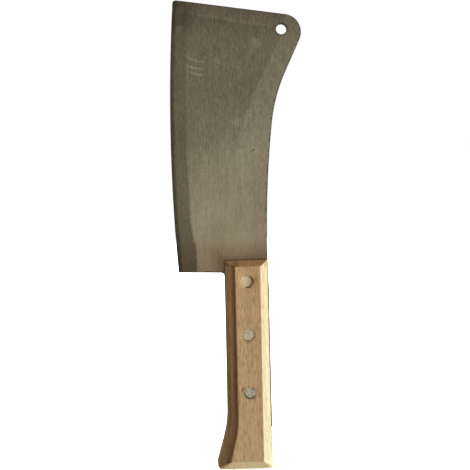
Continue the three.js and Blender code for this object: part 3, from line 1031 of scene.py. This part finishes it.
def beech_material():
    n = Nodes("sanded_beech")
    warp = n.noise((60, 60, 6), 2, 0.5, offset=(5, 2, 0))
    growth = n.noise((420, 260, 6), 3, 0.55, 0.4, offset=(1, 4, 2))
    dashes = n.noise((1300, 1300, 165), 2, 0.55, 0.3, offset=(2, 2, 9))
    pale = n.noise((1100, 1100, 90), 2, 0.5, 0.3, offset=(7, 1, 3))
    fibres = n.noise((2600, 2600, 80), 3, 0.6)
    patches = n.noise((45, 45, 12), 3, 0.5)
    height = n.mm("Z")
    across = n.mm("X")
    depth = n.math("ABSOLUTE", n.mm("Y"))

    colour = n.mix(n.ramp(growth, 0.32, 0.68), (0.69, 0.478, 0.283), (0.555, 0.365, 0.198))
    colour = n.mix(n.ramp(patches, 0.35, 0.7, 0, 0.35), colour, (0.73, 0.54, 0.34))
    colour = n.mix(n.ramp(pale, 0.54, 0.68, 0, 0.45), colour, (0.84, 0.63, 0.40))
    colour = n.mix(n.ramp(dashes, 0.52, 0.65, 0, 0.70), colour, (0.36, 0.205, 0.10))
    colour = n.mix(n.ramp(fibres, 0.35, 0.62, 0.26, 0), colour, (0.40, 0.25, 0.13))
    colour = n.mix(n.ramp(warp, 0.4, 0.7, 0, 0.15), colour, (0.48, 0.32, 0.17))

    # warmer towards the blade, where it was handled most; greyer at the foot
    colour = n.shade(colour, n.ramp(height, 110, 172, 0, 0.4), (1.04, 0.96, 0.84))
    colour = n.shade(colour, n.ramp(height, 70, 10, 0, 0.4), (0.92, 0.95, 1.0))

    colour = torn(n, colour)

    # the rim of the sunken front rivet's seat: a painted highlight on its edge side and low down,
    # painted shade high up
    ring = n.math("SUBTRACT", n.distance(0, rivet_z("front")), (HEAD_RADIUS + 0.25) * MM)
    ring = n.ramp(n.math("ABSOLUTE", ring), 0.25 * MM, 0.6 * MM, 1, 0)
    ring = n.times(ring, on_front_face(n))
    upper = n.ramp(height, rivet_z("front") - 2.5, rivet_z("front"))
    seat_highlight_left = n.times(ring, n.ramp(across, 0, -4, 0, 0.8))
    colour = n.mix(seat_highlight_left, colour, (1.0, 0.86, 0.60))
    seat_shade_and_highlight_right = n.times(ring, n.ramp(across, 1, 4, 0, 0.6))
    colour = n.mix(n.times(seat_shade_and_highlight_right, upper), colour, (0.25, 0.14, 0.07))
    lower = n.times(seat_shade_and_highlight_right, n.math("SUBTRACT", 1, upper))
    colour = n.mix(lower, colour, (1.0, 0.80, 0.58))

    # painted shade along the inner side of the edge-side chamfers, darker towards the toe; the
    # front end's chamfer made less orange, with streaks
    chamfered = n.ramp(depth, 13.9, 13.4)
    mitre = n.times(n.math("SUBTRACT", across, TOE_X), TOE_MITRE_SLOPE)
    above_mitre = n.ramp(n.math("SUBTRACT", height, mitre), -0.3, 0.3)
    on_chamfer = n.times(chamfered, n.ramp(across, -6, -8))
    on_chamfer = n.times(on_chamfer, above_mitre)
    # painted shade, deepest towards the ridge
    chamfer_shade = n.times(n.ramp(depth, 8.5, 13.5, 0.0, 0.60), on_chamfer)
    colour = n.shade(colour, chamfer_shade, (0.32, 0.24, 0.12))
    at_toe = n.times(n.ramp(height, 95, 30, 0, 0.4), on_chamfer)
    colour = n.shade(colour, at_toe, (0.62, 0.64, 0.62))
    streaks = n.times(n.ramp(growth, 0.50, 0.62, 0, 0.4), on_chamfer)
    colour = n.shade(colour, streaks, (0.58, 0.54, 0.48))
    streaks = n.times(n.ramp(growth, 0.47, 0.36, 0, 0.5), on_chamfer)
    colour = n.shade(colour, streaks, (1.25, 1.22, 1.18))
    ending = n.times(n.ramp(height, 170.2, 171), chamfered)
    colour = n.shade(colour, n.times(ending, 0.5), (0.86, 0.92, 1.0))
    streaks = n.times(n.ramp(patches, 0.42, 0.62, 0, 0.6), ending)
    colour = n.shade(colour, streaks, (0.72, 0.68, 0.66))
    # the butt's chamfer painted lighter, as light from below would leave it
    butt_chamfer_light = n.times(n.ramp(height, 8.2, 7.4), chamfered)
    butt_chamfer_light = n.times(butt_chamfer_light, n.math("SUBTRACT", 1, above_mitre))
    colour = n.shade(colour, n.times(butt_chamfer_light, 0.6), (1.4, 1.38, 1.32))
    n.set("Base Color", colour)
    n.set("Roughness", n.ramp(fibres, 0.3, 0.7, 0.52, 0.66))
    n.set("Specular IOR Level", 0.3)
    n.bump([(fibres, 0.3, 0.0001), (dashes, 0.25, 0.00015)])
    return n.material


# Centre of the part of a head left undarkened, as x and the height above the rivet, and the
# strength of the dark crescent round it: painted shadow of the sunken seat's wall on the front
# head, dirt on the rear
HEAD_SHADE_AND_DIRT = {"front": (-1.7, 0.9, 0.7), "rear": (0.6, 1.3, 0.8)}


def rivet_material():
    n = Nodes("dull_rivet")
    mottle = n.noise((420, 420, 420), 4, 0.6)
    specks = n.noise((1100, 1100, 1100), 3, 0.6)
    colour = n.mix(n.ramp(mottle, 0.3, 0.7), (0.45, 0.42, 0.35), (0.66, 0.62, 0.51))
    colour = n.mix(n.ramp(specks, 0.52, 0.66, 0, 0.6), colour, (0.24, 0.22, 0.17))
    colour = n.mix(n.ramp(specks, 0.34, 0.46, 0.45, 0), colour, (0.72, 0.70, 0.60))
    # the rear head is the dullest and the front one the warmest; a dark crescent in the low side of
    # those two, painted shadow on the front and dirt on the rear
    height = n.mm("Z")
    is_front = n.math("GREATER_THAN", height, (rivet_z("front") + rivet_z("middle")) / 2)
    is_upper = n.math("GREATER_THAN", height, (rivet_z("middle") + rivet_z("rear")) / 2)
    colour = n.shade(colour, is_upper, (1.09, 1.06, 1.02))
    colour = n.shade(colour, is_front, (1.10, 0.99, 0.90))
    for rivet, (x, up, strength) in HEAD_SHADE_AND_DIRT.items():
        off = n.distance(x, rivet_z(rivet) + up)
        near_rivet = n.ramp(off, 8 * MM, 9 * MM, 1, 0)
        shade_and_dirt_side = n.ramp(off, 4.0 * MM, 5.6 * MM, 0, strength)
        colour = n.shade(colour, n.times(shade_and_dirt_side, near_rivet), (0.22, 0.17, 0.11))
    colour = torn(n, colour)
    n.set("Base Color", colour)
    n.set("Metallic", 0.8)
    n.set("Roughness", n.ramp(mottle, 0.3, 0.7, 0.42, 0.6))
    n.bump([(mottle, 0.4, 0.0003), (specks, 0.3, 0.00015)])
    return n.material


def floor_material():
    n = Nodes("pale_floor")
    n.set("Base Color", (0.86, 0.86, 0.86, 1))
    n.set("Roughness", 0.8)
    return n.material


# ------------------------------------------------------------------ stage


FLOOR_REACH = 60000.0


def make_floor():
    """The floor is seen, but it neither lights the object nor blocks the low lamps."""
    bm = bmesh.new()
    bmesh.ops.create_grid(bm, x_segments=1, y_segments=1, size=FLOOR_REACH)
    floor = finished("floor", bm)
    floor.data.materials.append(floor_material())
    floor.visible_diffuse = floor.visible_glossy = floor.visible_shadow = False
    return floor


# Soft lamps: azimuth and elevation of the place that the light comes from, angle across, colour.
# Azimuth 0 is the camera's side and 90 is the spine's side.
LAMPS = {
    "window": (83, -18, 36, (3.20, 5.10, 5.65)),
    "lamp": (62, -10, 36, (1.43, 1.03, 0.63)),
}
# Pale surfaces round the object: azimuth, elevation, sharpness, colour.
PANELS = (
    (5, -6, 60, (3.0, 3.0, 2.53)),
    (0, 70, 5, (0.72, 0.59, 0.40)),
    (180, 20, 6, (1.5, 1.35, 1.15)),
)
ROOM_COLOUR = (0.133, 0.108, 0.089)
FLOOR_LAMP, FLOOR_LAMP_ACROSS = 10.0, 150  # reaches the floor alone


def direction(azimuth, elevation):
    a, e = math.radians(azimuth), math.radians(elevation)
    return Vector((math.sin(a) * math.cos(e), -math.cos(a) * math.cos(e), math.sin(e)))


def make_lamp(name, azimuth, elevation, across, colour):
    """A distant soft lamp; its colour is its brightness."""
    data = bpy.data.lights.new(name, "SUN")
    data.energy, data.angle = max(colour), math.radians(across)
    data.color = [c / max(colour) for c in colour]
    lamp = bpy.data.objects.new(name, data)
    lamp.rotation_euler = direction(azimuth, elevation).to_track_quat("Z", "Y").to_euler()
    bpy.context.scene.collection.objects.link(lamp)
    return lamp


def make_lights(floor):
    for name, (azimuth, elevation, across, colour) in LAMPS.items():
        make_lamp(name, azimuth, elevation, across, colour)
    over_floor = make_lamp("floor_lamp", 0, 90, FLOOR_LAMP_ACROSS, (FLOOR_LAMP,) * 3)
    only_floor = bpy.data.collections.new("only_floor")
    only_floor.objects.link(floor)
    over_floor.light_linking.receiver_collection = only_floor


def make_world():
    """A dim room with soft bright panels; the camera sees plain white behind the object."""
    world = bpy.data.worlds.new("studio")
    world.use_nodes = True
    tree = world.node_tree
    tree.nodes.clear()

    def add(kind, *inputs, **settings):
        return add_node(tree, kind, dict(enumerate(inputs)), settings)

    towards = add("ShaderNodeTexCoord").outputs["Generated"]
    light = add("ShaderNodeBackground", (*ROOM_COLOUR, 1), 1.0)
    for azimuth, elevation, sharpness, colour in PANELS:
        panel_way = direction(azimuth, elevation)
        along = add("ShaderNodeVectorMath", towards, panel_way, operation="DOT_PRODUCT")
        short = add("ShaderNodeMath", along.outputs["Value"], 1.0, operation="SUBTRACT")
        fall = add("ShaderNodeMath", short.outputs[0], sharpness, operation="MULTIPLY")
        glow = add("ShaderNodeMath", fall.outputs[0], operation="EXPONENT")
        panel = add("ShaderNodeBackground", (*colour, 1), glow.outputs[0])
        light = add("ShaderNodeAddShader", light.outputs[0], panel.outputs[0])
    seen = add("ShaderNodeBackground", (1, 1, 1, 1), 1.0)
    is_camera = add("ShaderNodeLightPath").outputs["Is Camera Ray"]
    both = add("ShaderNodeMixShader", is_camera, light.outputs[0], seen.outputs[0])
    add("ShaderNodeOutputWorld", both.outputs[0])
    bpy.context.scene.world = world
    bpy.context.scene.view_settings.view_transform = "Standard"


CAMERA_TARGET = (-8.8, 0, 196.9)
CAMERA_DISTANCE, CAMERA_AZIMUTH, CAMERA_ROLL = 700.0, -2.7, -1.34
VIEW_HEIGHT = 399.5


def make_camera():
    data = bpy.data.cameras.new("camera")
    data.sensor_width = 36
    data.lens = data.sensor_width * CAMERA_DISTANCE / VIEW_HEIGHT
    camera = bpy.data.objects.new("camera", data)
    a = math.radians(CAMERA_AZIMUTH)
    back = Vector((math.sin(a), -math.cos(a), 0))
    camera.location = (Vector(CAMERA_TARGET) + back * CAMERA_DISTANCE) * MM
    facing = (-back).to_track_quat("-Z", "Y")
    roll = Matrix.Rotation(math.radians(CAMERA_ROLL), 4, "Z").to_quaternion()
    camera.rotation_mode = "QUATERNION"
    camera.rotation_quaternion = facing @ roll
    bpy.context.scene.collection.objects.link(camera)
    bpy.context.scene.camera = camera


# ------------------------------------------------------------------ assembly


def place(obj, node, material, slot):
    obj.data.materials.clear()
    obj.data.materials.append(material)
    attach(obj, "root")
    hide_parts(node)


make_camera()
make_lights(make_floor())
make_world()

place(make_blade(), "blade", steel_material(), "blade_steel")
place(make_handle(), "handle", beech_material(), "beech_wood")
rivet_metal = rivet_material()
# For each rivet: seed, depth of the dents, lean of the head in x and z, dish, raggedness
WEAR = {
    "front": (1.0, 0.06, (0.42, -0.16), 0.30, 0.02),
    "middle": (2.0, 0.05, (0.14, -0.06), 0.0, 0.05),
    "rear": (3.0, 0.24, (0.03, -0.02), 0.05, 0.18),
}
for rivet, wear in WEAR.items():
    tube, pin = make_rivet(rivet, *wear)
    place(tube, rivet + "_rivet_tube", rivet_metal, "rivet_metal")
    place(pin, rivet + "_rivet_pin", rivet_metal, "rivet_metal")
